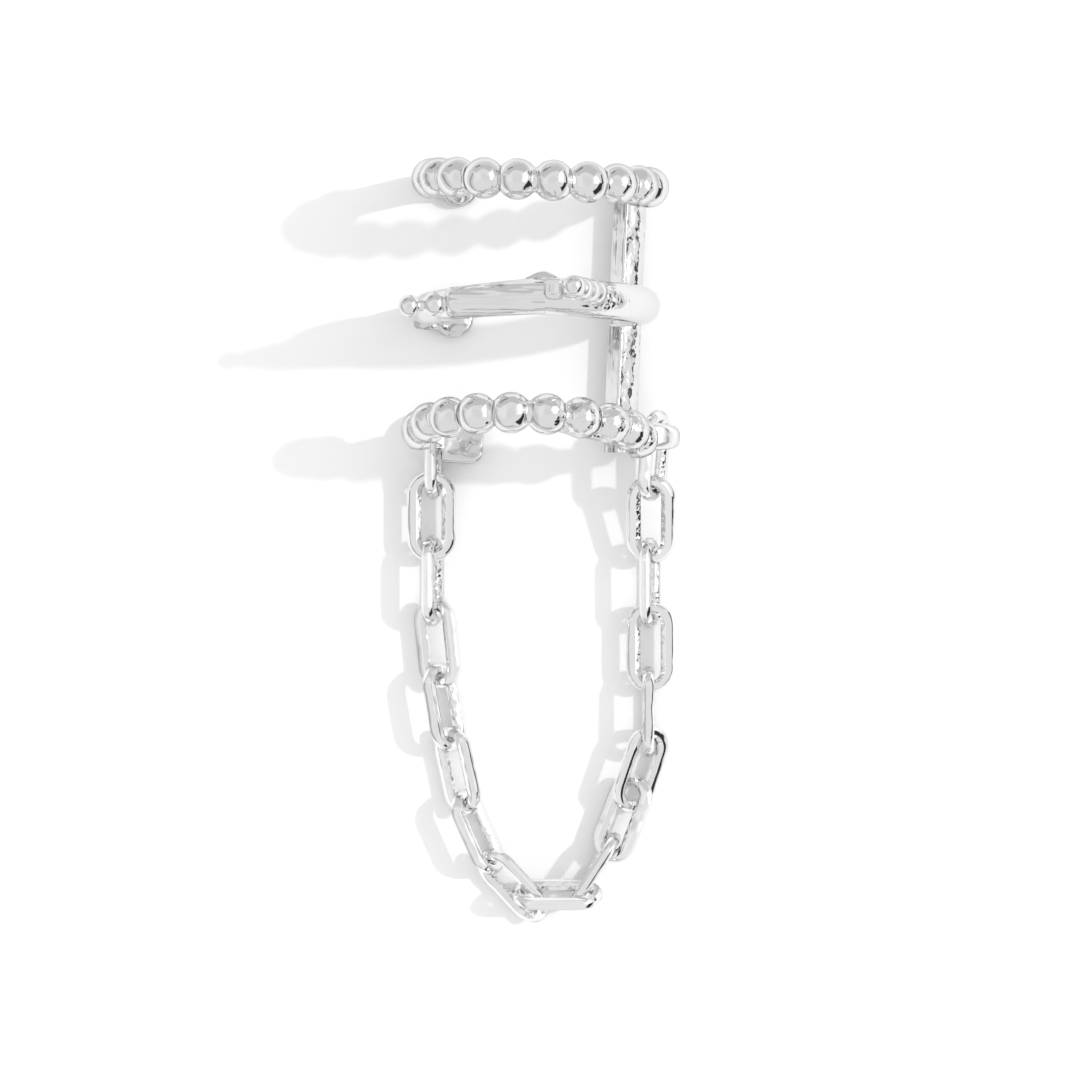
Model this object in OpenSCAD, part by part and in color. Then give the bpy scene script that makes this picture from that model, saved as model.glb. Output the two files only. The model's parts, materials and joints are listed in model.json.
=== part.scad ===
// Ear cuff of three soldered bands, with a chain hung between the two ends of its lowest band.
// The cuff lies with the open backs of its bands on the surface, and the chain lies below it.
// +X is to the right, +Y runs along the cuff from the chain's side to the top band, +Z is up.

/* [Bands] */
// Inner radius of the bands, where the edge of the ear goes
bore_r = 4.9; // [4.7:0.05:5]
// Distance from the middle band up to the top band
top_rise = 5.8; // [5.4:0.1:6.4]
// Distance from the middle band down to the lowest band
low_drop = 6.6; // [6.6:0.1:7]
// Outer radius of the plain middle band
plain_r = 6.12; // [6:0.02:6.2]
// Width of the middle band
plain_w = 1.84; // [1.7:0.02:1.9]
// Width of the middle band's left side, behind the horn
plain_left_w = 1.54; // [1.4:0.02:1.6]
// How far the top band leans, its front towards the chain
top_lean = 2.7; // [0:0.1:4]
// How far the lowest band leans, its front away from the chain
low_lean = 10.7; // [8:0.1:11]

/* [Beads] */
// Diameter of a bead on the beaded bands
bead_d = 2.0; // [1.9:0.05:2.1]
// Radius of the circle that the bead centres lie on
bead_ring_r = 5.35; // [5.3:0.05:5.4]
// Angle from one bead to the next
bead_step = 18.5; // [17.5:0.5:18.5]
// Number of beads on a beaded band
bead_count = 10; // [9:1:10]
// Thickness of the strip that the beads are soldered to
backing_t = 0.55; // [0.45:0.05:0.6]
// Width of that strip
backing_w = 1.4; // [1.2:0.1:1.5]

/* [Horn, stalk and bump] */
// Angle that the horn points down by, to the left
horn_turn = 7; // [5:0.5:9]
// Length of the horn's smooth cone
horn_len = 4.3; // [4:0.1:4.5]
// Diameter of the horn where it leaves the band
horn_root_d = 1.76; // [1.6:0.02:1.8]
// Diameter of the horn at its end
horn_end_d = 1.48; // [1.3:0.02:1.5]
// Diameters of the two balls at the horn's tip
horn_ball_d = [1.2, 1.1];
// Distances of those balls from the middle of the band's front
horn_ball_x = [4.85, 6.07];
// Diameter of the neck between them
neck_d = 0.8; // [0.6:0.05:0.9]
// Diameters of the stalk's four beads, from its foot to its tip
stalk_d = [1.2, 1.15, 1.08, 0.93];
// Diameter of the small bump on the front of the middle band
bump_d = 0.9; // [0.7:0.05:1]

/* [Bar] */
// Width of the square bar that joins the bands, round the bands
bar_w = 1.06; // [1:0.02:1.2]
// Depth of the bar, away from the bands' axis
bar_depth = 1.4; // [1.2:0.05:1.5]
// Distance from the bands' axis to the bar's inner face
bar_in_r = 5.25; // [5.15:0.05:5.3]
// Angle of the bar, from straight down round to the right
bar_angle = 48.5; // [46:0.5:50]

/* [Back straps] */
// Thickness of the flat straps behind the bands
strap_t = 0.6; // [0.5:0.05:0.65]
// Width of the flat straps
strap_w = 1.35; // [1.3:0.05:1.4]
// Diameter of a strap's round end
paddle_d = 2.0; // [1.8:0.05:2]
// Radius of the bend in a strap, along its middle
bend_r = 0.9; // [0.8:0.05:1]
// Distance from the bands' axis to the straps' upright stretch
side_x = 5.7; // [5.6:0.05:5.75]
// Distance from the bands' axis to the straps' tips
tip_x = 3.1; // [3:0.1:3.3]

/* [Chain loop] */
// Thickness of the smooth loop on the lowest band's right side
loop_t = 0.8; // [0.7:0.05:0.8]
// Width of the loop
loop_w = 1.25; // [1.15:0.05:1.25]
// Radius of the loop's round stretch, along its middle
loop_r = 1.45; // [1.4:0.05:1.5]
// Angle that the loop turns through, from its top
loop_turn = 136; // [134:1:138]

/* [Chain] */
// Length of a link outside
link_len = 4.5; // [4.46:0.01:4.52]
// Width of a link outside
link_w = 2.42; // [2.4:0.01:2.5]
// Thickness of a link's wire across its flats
wire = 0.58; // [0.5:0.01:0.6]
// Size of the cut along each corner of the wire
wire_cut = 0.16; // [0.1:0.01:0.2]

/* [Hidden] */
LINKS = 17;
$fn = 48;
silver = [0.86, 0.86, 0.88];
bright_silver = [0.92, 0.92, 0.93];

// The bar's lowest corner stands on the surface, and that sets the height of the bands' axis.
ring_z = (bar_in_r + bar_depth) * cos(bar_angle) + bar_w / 2 * sin(bar_angle);
bar_at = 180 - bar_angle;
// The bar ends a little inside the outer edges of the top and lowest bands.
bar_top = top_rise + 0.7;
bar_bottom = low_drop + 0.55;
// How far a joined shape runs on inside its neighbour
over = 0.1;
// How far a straight stretch laps the bend that it runs into
lap = 0.05;

// Angle of the first bead on each beaded band, from straight up
top_first = -86;
low_first = -84.2;
// Height of the horn's axis above the bands' axis
horn_rise = plain_r - horn_root_d / 2;
// The middles of the stalk's first and last beads, from the bands' axis
stalk_foot = [2.8, 0.27, 5.4];
stalk_tip = [1.85, 0.34, 7.6];
bump_at = [0.5, 0.7, 5.5];
// The middle of the chain loop's round stretch, from the bands' axis
loop_at = [5.5, -6.5, -0.7];
loop_run = 2.9;

// Each strap: its place along the cuff, its slope down to the tip, the height of the tip's middle
STRAP_Y = 0;
STRAP_SLOPE = 1;
STRAP_TIP_Z = 2;
// The tips of the top and middle straps lie on the surface.
resting_tip = strap_t / 2 * cos(8) + 0.01;
straps = [
    [top_rise, 8, resting_tip],
    [-0.75, 8, resting_tip],
    [-low_drop - 0.4, 27, 0.42],
];

// The middle of the box around the whole part, from the middle band
mid_x = 0.54;
mid_y = -11.95;

// The chain lies turned by this angle from the cuff's axis.
lay_turn = 2.4;
// Each link as it lies, from the left end of the lowest band round to the right end.
// x and y from the middle of the middle band, height of its middle, turn to the left,
// rise towards the cuff, and roll about its length, which lifts its left leg.
X = 0;
Y = 1;
Z = 2;
TURN = 3;
RISE = 4;
ROLL = 5;
lay = [
    [-5.10,  -7.40, 1.30,   0,   0,  82],
    [-5.20, -10.50, 1.20,   0,   0,   0],
    [-5.15, -13.70, 1.25,   0,   0,  75],
    [-4.90, -16.80, 1.20,   6,   0, -33],
    [-4.55, -20.00, 1.20,  10,   0,  50],
    [-3.90, -23.15, 1.20,  12,   0, -48],
    [-2.90, -26.20, 1.20,  24,   0,  56],
    [-1.15, -28.85, 1.25,  43,   0, -48],
    [ 1.05, -29.25, 1.85,  90,   0,  64],
    [ 2.85, -28.15, 1.25, -33,   0,  90],
    [ 4.30, -25.50, 1.30, -21,   0, -31],
    [ 5.20, -23.05, 1.20, -19,   0,  38],
    [ 5.60, -20.20, 1.30,   0,   0,  88],
    [ 5.70, -17.00, 1.20,   0,   0,   0],
    [ 5.65, -13.80, 1.35,   0,   0,  75],
    [ 5.70, -10.65, 1.95,   0,  16,  -3],
    [ 5.85,  -7.50, 2.65,  -5,   6,  62],
];

// Stands a drawing in X and Y upright across the bands: X stays, and its Y becomes Z.
module stand() rotate([90, 0, 0]) children();

// An arc about the Y axis. The angles run from straight up round to the right.
// The children are the arc's section, with X as the radius.
module arc(from, to)
    stand() rotate([0, 0, 90 - to]) rotate_extrude(angle = to - from) children();

// The section of a flat strip whose inner face is at in_r
module flat_section(in_r, t, w) translate([in_r, -w / 2]) square([t, w]);

// The section of a plain band: flat inside and half round outside
module round_section(w) {
    translate([plain_r - w / 2, 0]) circle(d = w);
    flat_section(bore_r - over, plain_r - w / 2 - bore_r + over, w);
}

// The point at an angle from straight up, at distance r from the bands' axis
function on_ring(angle, r) = [r * sin(angle), 0, r * cos(angle)];

module beads(first)
    for (i = [0 : bead_count - 1])
        translate(on_ring(first + bead_step * i, bead_ring_r)) sphere(d = bead_d);

module backing() arc(-90, 90) flat_section(bore_r - over, backing_t + over, backing_w);

module top_band() {
    translate([0, top_rise, 0]) rotate([top_lean, 0, 0]) {
        beads(top_first);
        backing();
        arc(75, bar_at) flat_section(bore_r - over, strap_t + over, strap_w);
    }
}

module low_band() {
    translate([0, -low_drop, 0]) rotate([-low_lean, 0, 0]) {
        beads(low_first);
        backing();
    }
}

module middle_band() {
    arc(-4, bar_at) round_section(plain_w);
    rotate([0, 0, horn_turn]) arc(-92, 2) round_section(plain_left_w);
}

// The band's front runs on to the left as a straight horn with two balls at its tip.
module horn() {
    rotate([0, 0, horn_turn]) translate([0, 0, horn_rise]) rotate([0, -90, 0]) {
        cylinder(h = horn_len, d1 = horn_root_d, d2 = horn_end_d);
        cylinder(h = horn_ball_x[1], d = neck_d);
        for (i = [0 : 1]) translate([0, 0, horn_ball_x[i]]) sphere(d = horn_ball_d[i]);
    }
}

// Four beads, each smaller than the last, stand on the middle band's front.
module stalk() {
    last = len(stalk_d) - 1;
    for (i = [0 : last])
        translate(stalk_foot + (stalk_tip - stalk_foot) * i / last) sphere(d = stalk_d[i]);
}

module bump() translate(bump_at) sphere(d = bump_d);

module bar()
    rotate([0, bar_at, 0]) translate([-bar_w / 2, -bar_bottom, bar_in_r])
        cube([bar_w, bar_bottom + bar_top, bar_depth]);

// The lowest band's right side swings out past its beads and back in to the bar.
module chain_loop() {
    in_r = loop_r - loop_t / 2;
    translate(loop_at) {
        arc(-15, loop_turn) flat_section(in_r, loop_t, loop_w);
        rotate([0, loop_turn, 0]) translate([-lap, -loop_w / 2, in_r])
            cube([loop_run + lap, loop_w, loop_t]);
    }
}

// A strap comes down from a band's left side, bends, and runs back under it to a round end.
module back_strap(strap) {
    slope = strap[STRAP_SLOPE];
    paddle_x = -tip_x - paddle_d / 2 * cos(slope);
    paddle_z = strap[STRAP_TIP_Z] + paddle_d / 2 * sin(slope);
    run = (paddle_x + side_x - bend_r * (1 - sin(slope))) / cos(slope);
    bend_z = paddle_z + run * sin(slope) + bend_r * cos(slope);
    translate([paddle_x, strap[STRAP_Y], paddle_z]) rotate([0, slope, 0]) {
        cylinder(d = paddle_d, h = strap_t, center = true);
        translate([-run - lap, -strap_w / 2, -strap_t / 2]) cube([run + lap, strap_w, strap_t]);
        translate([-run, 0, bend_r])
            arc(180, 270 - slope) flat_section(bend_r - strap_t / 2, strap_t, strap_w);
    }
    translate([-side_x - strap_t / 2, strap[STRAP_Y] - strap_w / 2, bend_z - lap])
        cube([strap_t, strap_w, ring_z - bend_z + lap + over]);
}

// Moves the middle of the whole part on to the Z axis
module centred() translate([-mid_x, -mid_y, 0]) children();

module cuff() color(silver) centred() difference() {
    union() {
        translate([0, 0, ring_z]) {
            top_band();
            middle_band();
            low_band();
            horn();
            stalk();
            bump();
            bar();
            chain_loop();
        }
        for (strap = straps) back_strap(strap);
    }
    translate([0, 0, ring_z]) stand()
        cylinder(r = bore_r, h = 3 * (top_rise + low_drop), center = true);
}

// The section of the wire, a square with its corners cut
module wire_section() {
    half = wire / 2;
    flat = half - wire_cut;
    polygon([[half, -flat], [half, flat], [flat, half], [-flat, half],
             [-half, flat], [-half, -flat], [-flat, -half], [flat, -half]]);
}

// A long link that lies flat, with its length along Y
module plain_link() {
    end_r = (link_w - wire) / 2;
    leg = link_len - link_w;
    for (side = [-1, 1]) {
        translate([side * end_r, leg / 2, 0]) rotate([90, 0, 0])
            linear_extrude(leg) wire_section();
        translate([0, side * leg / 2, 0]) rotate([0, 0, side > 0 ? 0 : 180])
            rotate_extrude(angle = 180) translate([end_r, 0]) wire_section();
    }
}

module link(i) {
    row = lay[i];
    color(bright_silver) centred() rotate([0, 0, lay_turn]) translate([row[X], row[Y], row[Z]])
        rotate([0, 0, row[TURN]]) rotate([row[RISE], 0, 0]) rotate([0, row[ROLL], 0])
            plain_link();
}

cuff();
for (i = [1 : LINKS]) link(i - 1);
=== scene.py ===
# %% [markdown]
# A silver ear cuff with a draped chain
#
# The cuff is three open bands on one axis: two rows of beads, and a plain band with a horn and a small
# beaded stalk on it. A square bar joins them behind. A chain of long links hangs between the two ends
# of the lowest band. It lies on a white table, with the open backs of the bands down.
# Everything is polished silver, so the lesson is mostly about clean curved surfaces and what they mirror.

# %% Tools and the fixed frame
import json
import math

import bmesh
import bpy
from mathutils import Matrix, Vector


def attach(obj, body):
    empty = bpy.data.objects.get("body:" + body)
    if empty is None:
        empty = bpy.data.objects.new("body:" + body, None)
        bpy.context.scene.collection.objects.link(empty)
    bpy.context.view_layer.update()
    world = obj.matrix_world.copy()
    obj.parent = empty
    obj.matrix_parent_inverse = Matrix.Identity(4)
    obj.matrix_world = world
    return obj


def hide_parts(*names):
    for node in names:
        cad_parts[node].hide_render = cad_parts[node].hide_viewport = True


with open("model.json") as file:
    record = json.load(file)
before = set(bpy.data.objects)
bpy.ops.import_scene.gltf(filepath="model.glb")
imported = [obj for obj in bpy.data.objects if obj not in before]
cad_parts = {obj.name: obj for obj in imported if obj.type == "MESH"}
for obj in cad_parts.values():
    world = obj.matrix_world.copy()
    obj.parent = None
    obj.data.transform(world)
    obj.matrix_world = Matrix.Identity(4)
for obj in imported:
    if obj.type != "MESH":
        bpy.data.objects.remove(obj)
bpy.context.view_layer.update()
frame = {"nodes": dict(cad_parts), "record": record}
MM = 0.001

# %% [markdown]
# The bands' axis
#
# The three bands share one axis, where the edge of the ear goes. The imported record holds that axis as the
# mount called ear. Places could be written in the part's own frame, but measured from the axis they are the
# sizes that a maker marks out: x to the right, y along the axis towards the top band, and z up, all in
# millimetres. The middle band is at y = 0.

# %% The bands' axis
ear = next(m for m in frame["record"]["mounts"] if m["name"] == "ear")
BORE_R = ear["dims"]["r_mm"]
MOUNT_TO_MIDDLE_BAND = 0.35
AXIS = Vector(ear["pos_m"]) / MM + Vector((0, MOUNT_TO_MIDDLE_BAND, 0))
ACROSS = Vector((0, 1, 0))
TOP_Y = 5.8
LOW_Y = -6.6


def on_ring(angle, r):
    """The point at an angle from straight up, to the right, at distance r from the bands' axis."""
    a = math.radians(angle)
    return Vector((r * math.sin(a), 0, r * math.cos(a)))


print("axis of the bands, mm:", [round(c, 3) for c in AXIS])

# %% [markdown]
# Sections and sweeps
#
# Most of the cuff is one section carried along a path: a flat strip, a half round or a square. A curve
# object with a bevel could do that. A short sweep function does it better here, because each station can
# have its own width, and the section keeps its flat face towards the ear. First come the two sections.

# %% Two sections
HOLD = 0.03


def rounded_box(across, deep, corner, steps=5):
    """A rectangle with round corners, centred. A held point beside each corner keeps its sides flat."""
    points = []
    for turn, (sx, sy) in enumerate([(1, 1), (-1, 1), (-1, -1), (1, -1)]):
        cx = sx * (across / 2 - corner)
        cy = sy * (deep / 2 - corner)
        quarter = [math.radians(90 * turn + 90 * i / steps) for i in range(steps + 1)]
        arc = [(cx + corner * math.cos(a), cy + corner * math.sin(a)) for a in quarter]
        before = (arc[0][0] + HOLD * math.sin(quarter[0]), arc[0][1] - HOLD * math.cos(quarter[0]))
        after = (arc[-1][0] - HOLD * math.sin(quarter[-1]), arc[-1][1] + HOLD * math.cos(quarter[-1]))
        points += [before] + arc + [after]
    return points


def half_round(width, height, corner=0.12, steps=20):
    """A band's section: flat at u = 0 towards the ear, half round outside at u = height."""
    r = width / 2
    base = max(corner, height - r)
    points = []
    for i in range(steps + 1):
        a = math.radians(-90 + 180 * i / steps)
        points.append((base + (height - base) * math.cos(a), r * math.sin(a)))
    quarter = [math.radians(90 * i / 4) for i in range(5)]
    for side, angles in ((1, quarter), (-1, quarter[::-1])):
        for a in angles:
            points.append((corner - corner * math.sin(a), side * (r - corner + corner * math.cos(a))))
    return points


print("points in a flat section:", len(rounded_box(1, 1, 0.1)), "half round:", len(half_round(1, 1)))

# %% [markdown]
# A mesh made from bare points has doubled points, and faces that look either way. On polished metal both
# show at once as a dark seam, so every piece goes through the same steps: merge, turn the faces outwards,
# shade smooth, and keep only true edges sharp.

# %% From points to a clean mesh
MERGE_WITHIN = 0.0005


def tidy(obj, sharp):
    """Merges doubled points and turns the faces outwards. Edges sharper than that angle stay sharp."""
    bm = bmesh.new()
    bm.from_mesh(obj.data)
    bmesh.ops.remove_doubles(bm, verts=bm.verts, dist=MERGE_WITHIN * MM)
    bmesh.ops.recalc_face_normals(bm, faces=bm.faces)
    for face in bm.faces:
        face.smooth = len(face.verts) <= 4
    bm.to_mesh(obj.data)
    bm.free()
    obj.data.set_sharp_from_angle(angle=math.radians(sharp))


def mesh_object(name, verts, faces, sharp):
    """An object from points in the bands' millimetres."""
    mesh = bpy.data.meshes.new(name)
    mesh.from_pydata([(v + AXIS) * MM for v in verts], [], faces)
    obj = bpy.data.objects.new(name, mesh)
    bpy.context.scene.collection.objects.link(obj)
    tidy(obj, sharp)
    return obj


def tube_faces(count, rings):
    """Faces between rings of points, and one across each end."""
    faces = []
    for low in range(0, (rings - 1) * count, count):
        for i in range(count):
            j = (i + 1) % count
            faces.append((low + i, low + j, low + count + j, low + count + i))
    faces.append(tuple(range(count)))
    faces.append(tuple(range((rings - 1) * count, rings * count)))
    return faces


def sweep(name, stations):
    """A closed tube through stations. A station is its section, its origin and its u and v directions."""
    verts = []
    for section, origin, u, v in stations:
        verts += [origin + u * a + v * b for a, b in section]
    return mesh_object(name, verts, tube_faces(len(stations[0][0]), len(stations)), sharp=35)


# %% [markdown]
# Geometry Nodes for what repeats
#
# The beads and the links repeat. They could be copies placed by a loop, but a node tree keeps its sizes as
# named inputs that can be turned later. Each tree ends in Realize Instances and Set Material. Its result is
# then made a plain mesh, and the modifier goes.

# %% Building a node tree
def new_tree(name, sockets):
    """A Geometry Nodes tree with named inputs, each with its kind and its first value."""
    tree = bpy.data.node_groups.new(name, "GeometryNodeTree")
    tree.interface.new_socket("Geometry", in_out="OUTPUT", socket_type="NodeSocketGeometry")
    for label, kind, value in sockets:
        socket = tree.interface.new_socket(label, in_out="INPUT", socket_type="NodeSocket" + kind)
        if value is not None:
            socket.default_value = value
    return tree


def add(tree, kind, inputs=None, **settings):
    """Adds a node. Its inputs are set by name or number to a value, or joined to another node's output."""
    node = tree.nodes.new(kind)
    for key, value in settings.items():
        setattr(node, key, value)
    for key, value in (inputs or {}).items():
        socket = node.inputs[key]
        if isinstance(value, bpy.types.NodeSocket):
            tree.links.new(value, socket)
        else:
            socket.default_value = value
    return node


def maths(tree, operation, a, b=0.0):
    """The result of one Math node."""
    return add(tree, "ShaderNodeMath", {0: a, 1: b}, operation=operation).outputs[0]


def vector_maths(tree, operation, a, b=(0, 0, 0), result="Vector"):
    """The result of one Vector Math node."""
    return add(tree, "ShaderNodeVectorMath", {0: a, 1: b}, operation=operation).outputs[result]


def finish_tree(tree, geometry, material, chosen=None, other=None):
    """Ends the tree in plain geometry with the piece's material, and with another on the chosen faces."""
    real = add(tree, "GeometryNodeRealizeInstances", {"Geometry": geometry})
    coated = add(tree, "GeometryNodeSetMaterial", {"Geometry": real.outputs[0], "Material": material})
    if chosen is not None:
        inputs = {"Geometry": coated.outputs[0], "Selection": chosen, "Material": other}
        coated = add(tree, "GeometryNodeSetMaterial", inputs)
    add(tree, "NodeGroupOutput", {0: coated.outputs[0]})


# %% [markdown]
# A modifier's inputs are set by their identifiers, before the object is first evaluated. The result is
# taken as a new mesh, with no instances or live trees left.

# %% Using a node tree
def keep_used_materials(mesh):
    """Drops empty material slots, and points each face at its material's new slot."""
    old = list(mesh.materials)
    used = [m for m in old if m is not None]
    slots = [used.index(old[f.material_index]) for f in mesh.polygons]
    mesh.materials.clear()
    for material in used:
        mesh.materials.append(material)
    mesh.polygons.foreach_set("material_index", slots)


def evaluated_mesh(obj):
    """The object's mesh with its modifiers applied."""
    graph = bpy.context.evaluated_depsgraph_get()
    return bpy.data.meshes.new_from_object(obj.evaluated_get(graph))


def grow(name, tree, values, material):
    """Runs a tree with these input values and keeps the result as a plain mesh at the origin."""
    obj = bpy.data.objects.new(name, bpy.data.meshes.new(name + "_seed"))
    bpy.context.scene.collection.objects.link(obj)
    modifier = obj.modifiers.new("grow", "NODES")
    modifier.node_group = tree
    for item in tree.interface.items_tree:
        if item.in_out == "INPUT" and item.name in values:
            modifier[item.identifier] = values[item.name]
        if item.in_out == "INPUT" and item.name == "Material":
            modifier[item.identifier] = material
    mesh = evaluated_mesh(obj)
    obj.modifiers.remove(modifier)
    obj.data = mesh
    mesh.name = name
    keep_used_materials(mesh)
    return obj


# %% [markdown]
# Materials
#
# Silver is a bright mirror, here a very little cool. What makes it look like metal and not like chrome
# paint is that it is never quite even: it was cast, tumbled and polished by hand. An image could carry
# that, but it would need a UV map on every piece. One shader group gives the unevenness as a normal and a
# roughness instead, and each silver finish uses it with its own strengths.

# %% The silver's surface, as a shader group
SURFACE = bpy.data.node_groups.new("silver surface", "ShaderNodeTree")
for label, kind, value in [
    ("Waviness", "NodeSocketFloat", 0.2),
    ("Streaks", "NodeSocketFloat", 0.0),
    ("Stretch", "NodeSocketVector", (1, 1, 1)),
    ("Pits", "NodeSocketFloat", 0.0),
    ("Cover", "NodeSocketFloat", 1.0),
    ("Base roughness", "NodeSocketFloat", 0.06),
]:
    SURFACE.interface.new_socket(label, in_out="INPUT", socket_type=kind).default_value = value
SURFACE.interface.new_socket("Roughness", in_out="OUTPUT", socket_type="NodeSocketFloat")
SURFACE.interface.new_socket("Normal", in_out="OUTPUT", socket_type="NodeSocketVector")
print("inputs of the silver surface:", sum(item.in_out == "INPUT" for item in SURFACE.interface.items_tree))

# %% [markdown]
# Three reliefs lie over each other: soft waves from casting, streaks from the file, and pits where the
# casting was left rough. The pits come in clusters, and the clusters in patches. Scales are in turns to the
# metre, because Object coordinates are in metres, and depths are in millimetres.

# %% Waves, streaks and pits
WAVE_SCALE = 700.0
WAVE_DEPTH = 0.25
STREAK_SCALE = 3200.0
STREAK_DEPTH = 0.06
GRAIN_SCALE = 4200.0
CLUSTER_SCALE = 2400.0
PATCH_SCALE = 420.0
PATCH_EDGE = 0.04
PIT_DEPTH = 0.12
SMEAR_SCALE = 1800.0
SMEAR_NOISE = (0.35, 0.75)
SMEAR_FACTOR = (0.6, 1.9)


def build_surface():
    """Each relief is a Bump node on top of the one before."""
    t = SURFACE
    given = add(t, "NodeGroupInput").outputs
    where = add(t, "ShaderNodeTexCoord").outputs["Object"]

    def noise(vector, scale, detail):
        return add(t, "ShaderNodeTexNoise", {"Vector": vector, "Scale": scale, "Detail": detail}).outputs[0]

    def relief(height, strength, depth, under=None):
        inputs = {"Height": height, "Strength": strength, "Distance": depth * MM}
        if under is not None:
            inputs["Normal"] = under
        return add(t, "ShaderNodeBump", inputs).outputs[0]

    soft = relief(noise(where, WAVE_SCALE, 1.5), given["Waviness"], WAVE_DEPTH)
    drawn = vector_maths(t, "MULTIPLY", where, given["Stretch"])
    filed = relief(noise(drawn, STREAK_SCALE, 2.0), given["Streaks"], STREAK_DEPTH, soft)
    grains = add(t, "ShaderNodeTexVoronoi", {"Vector": where, "Scale": GRAIN_SCALE}).outputs["Distance"]
    pits = maths(t, "MULTIPLY", grains, noise(where, CLUSTER_SCALE, 3.0))
    bare = maths(t, "SUBTRACT", 1.0, given["Cover"])
    bare_to = maths(t, "SUBTRACT", bare, PATCH_EDGE)
    pitted_from = maths(t, "ADD", bare, PATCH_EDGE)
    inputs = {0: noise(where, PATCH_SCALE, 1.0), 1: bare_to, 2: pitted_from}
    cover = add(t, "ShaderNodeMapRange", inputs, interpolation_type="SMOOTHSTEP").outputs[0]
    rough = relief(maths(t, "MULTIPLY", pits, cover), given["Pits"], PIT_DEPTH, filed)
    low, high = SMEAR_NOISE
    least, most = SMEAR_FACTOR
    inputs = {0: noise(where, SMEAR_SCALE, 4.0), 1: low, 2: high, 3: least, 4: most}
    smear = add(t, "ShaderNodeMapRange", inputs)
    roughness = maths(t, "MULTIPLY", smear.outputs[0], given["Base roughness"])
    add(t, "NodeGroupOutput", {"Roughness": roughness, "Normal": rough})


build_surface()
print("nodes in the silver surface:", len(SURFACE.nodes))

# %% [markdown]
# One silver would do for the whole cuff, but the real one shows its making: the plain band is polished, the
# beads are pitted where the polishing wheel didn't reach, the horn and the bar keep the file's streaks, and
# the chain is brighter than the rest. Two finishes also hold painted light: the straps' silver is painted
# darker as shade, and the stalk's lower beads are painted lighter. So each finish is the same metal with
# its own values.

# %% Silver finishes
SILVER = 0.80
BLUER = 1.006
EDGE_TINT = 0.62
BAND_EDGE_TINT = 0.9


def silver(name, shade=SILVER, edge=EDGE_TINT, **surface_values):
    """A silver: the same metal each time, with its own values for the shared surface."""
    material = bpy.data.materials.new(name)
    material.use_nodes = True
    t = material.node_tree
    t.nodes.clear()
    surface = add(t, "ShaderNodeGroup", node_tree=SURFACE)
    for label, value in surface_values.items():
        surface.inputs[label.replace("_", " ").capitalize()].default_value = value
    inputs = {
        "Base Color": (shade, shade, shade * BLUER, 1),
        "Metallic": 1.0,
        "Specular Tint": (edge, edge, edge, 1),
        "Roughness": surface.outputs["Roughness"],
        "Normal": surface.outputs["Normal"],
    }
    shader = add(t, "ShaderNodeBsdfPrincipled", inputs)
    add(t, "ShaderNodeOutputMaterial", {"Surface": shader.outputs[0]})
    return material


ALONG_HORN = (0.05, 0.5, 0.5)
ALONG_BAR = (1, 0.05, 1)
polished = silver("polished silver", edge=BAND_EDGE_TINT, waviness=0.35, base_roughness=0.05)
beaded = silver("beaded silver", waviness=1.0, pits=0.25, cover=0.4, base_roughness=0.05)
pitted = silver("pitted silver", waviness=1.0, pits=0.4, cover=0.62, base_roughness=0.07)
filed_across = silver("filed silver, along the horn", waviness=0.5, streaks=5.0, stretch=ALONG_HORN)
filed_along = silver("filed silver, along the bar", waviness=0.4, streaks=0.6, stretch=ALONG_BAR)
bright = silver("bright chain silver", shade=0.89, waviness=0.45, base_roughness=0.06)
rough_cast = silver("rough cast silver", shade=0.86, waviness=0.6, pits=0.45, base_roughness=0.1)
# The straps' silver is painted darker than the rest: painted shade, for they lie low under the bands.
wavy_painted_shade = silver("wavy silver, painted darker as shade", shade=0.72, waviness=1.3, base_roughness=0.06)
satin = silver("satin silver", shade=0.9, waviness=0.25, base_roughness=0.24)
# The stalk's lower beads are rougher, which is real, and painted lighter than the rest, which is painted
# light.
dull_and_painted_lighter = silver("dull silver on the stalk, painted lighter", shade=0.88, waviness=0.3, base_roughness=0.22)
speckled = silver("speckled silver at the stalk", waviness=0.8, pits=0.6, cover=1.0, base_roughness=0.07)
rough_bar = silver("rough silver of the bar", waviness=0.9, pits=0.22, base_roughness=0.08)
print("silver finishes:", [m.name for m in bpy.data.materials if "silver" in m.name])

# %% [markdown]
# The beaded bands
#
# Ten beads run into each other round each band, soldered to a flat strip inside. A bead could be modelled
# and copied round by hand, but the angles follow a rule. So the tree sets one point for each bead by its
# angle and puts a sphere on it, with a smaller sphere between each two for the metal that fills the notch.
# It leans the whole row, and then presses the beads' backs flat against the ear's space, as the real ones
# are reamed out.

# %% A row of beads round a band
BALL_DETAIL = 5
BEADS = new_tree(
    "beads round a band",
    [
        ("Count", "Int", 10),
        ("Bead radius", "Float", 1.0 * MM),
        ("Neck share", "Float", 0.6),
        ("Ring radius", "Float", 5.35 * MM),
        ("First angle", "Float", 0.0),
        ("Step", "Float", 0.3),
        ("Lean", "Float", 0.0),
        ("Bore radius", "Float", BORE_R * MM),
        ("Place", "Vector", (0, 0, 0)),
        ("Material", "Material", None),
    ],
)


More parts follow.
